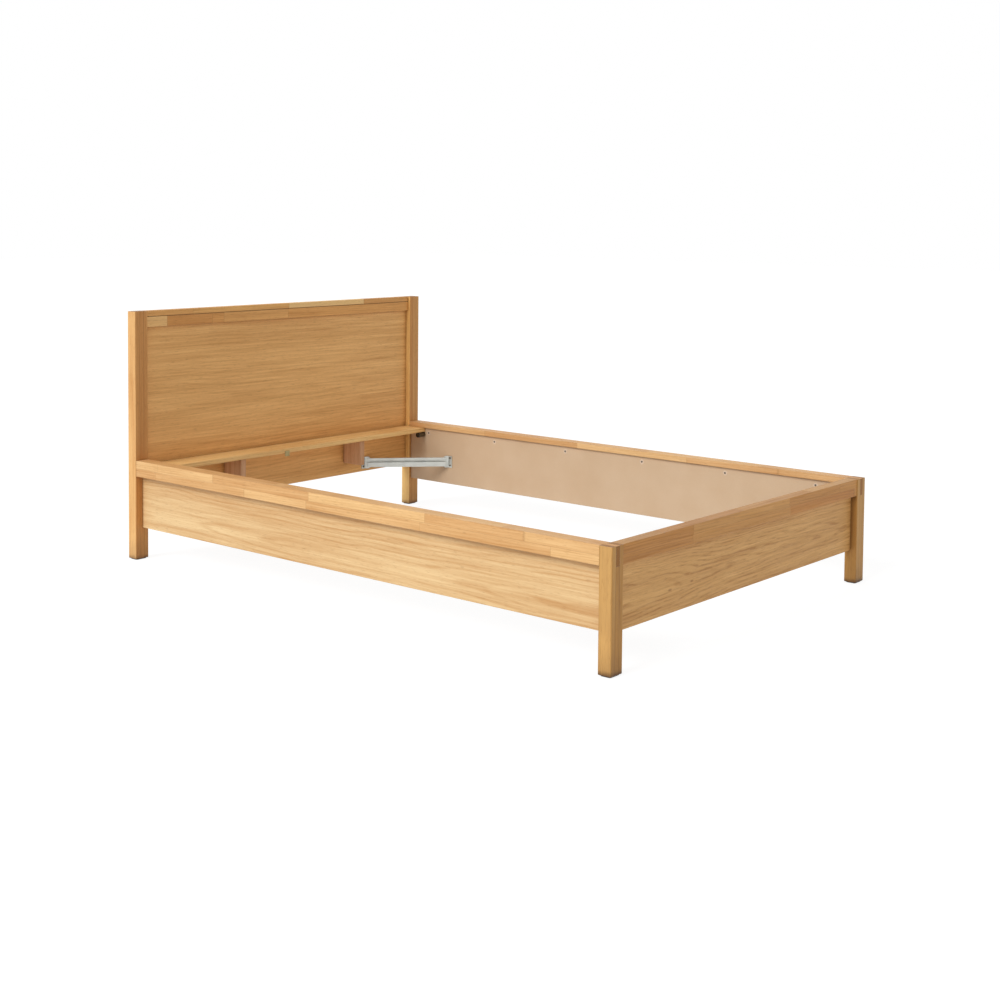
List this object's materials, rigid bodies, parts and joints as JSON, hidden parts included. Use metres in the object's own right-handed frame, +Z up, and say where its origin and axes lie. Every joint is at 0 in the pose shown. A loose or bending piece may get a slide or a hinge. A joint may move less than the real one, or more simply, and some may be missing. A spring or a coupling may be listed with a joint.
{
  "type": "panel bed frame",
  "caption": "Low oak bed frame with a panelled headboard, rabbeted edge rails over veneered panels, a head-end shelf and steel corner braces.",
  "frame": {"origin": "on the floor under the middle of the bed", "axes": "+Y from the foot to the head, +X to the right seen from the foot, +Z up"},
  "size_m": [1.525, 2.175, 0.915],
  "materials": {
    "post_oak": "oiled",
    "rail_oak": "oiled",
    "side_veneer": "oiled",
    "end_veneer": "oiled",
    "shelf_oak": "oiled",
    "raw_wood": "sawn",
    "dowel_wood": "plain",
    "glide_plastic": "matte",
    "support_plastic": "matte",
    "support_screw": "zinc plated",
    "clip_metal": "dull",
    "brace_steel": "zinc plated",
    "screw_steel": "zinc plated",
    "bolt_steel": "zinc plated"
  },
  "bodies": {
    "root": {"head_post_left": "post_oak", "head_post_right": "post_oak", "foot_post_left": "post_oak", "foot_post_right": "post_oak", "glide_head_left": "glide_plastic", "glide_head_right": "glide_plastic", "glide_foot_left": "glide_plastic", "glide_foot_right": "glide_plastic", "side_rail_left": "rail_oak", "side_rail_right": "rail_oak", "foot_rail": "rail_oak", "headboard_cap": "rail_oak", "headboard_rail": "rail_oak", "side_panel_left": "side_veneer", "side_panel_right": "side_veneer", "foot_panel": "end_veneer", "headboard_panel": "end_veneer", "head_shelf": "shelf_oak", "shelf_bracket_left": "raw_wood", "shelf_bracket_right": "raw_wood", "shelf_support_left": "support_plastic", "shelf_support_right": "support_plastic", "shelf_clip": "clip_metal", "corner_brace_head_left": "brace_steel", "corner_brace_head_right": "brace_steel", "corner_brace_foot_left": "brace_steel", "corner_brace_foot_right": "brace_steel", "brace_screws": "screw_steel", "side_panel_screws_left": "screw_steel", "side_panel_screws_right": "screw_steel", "foot_panel_screws": "screw_steel", "headboard_screws": "screw_steel", "bracket_screws": "screw_steel", "support_screws": "support_screw", "bed_bolts": "bolt_steel", "barrel_nuts": "bolt_steel", "side_panel_dowels": "dowel_wood", "foot_dowels": "dowel_wood", "headboard_dowels": "dowel_wood"}
  },
  "joints": []
}
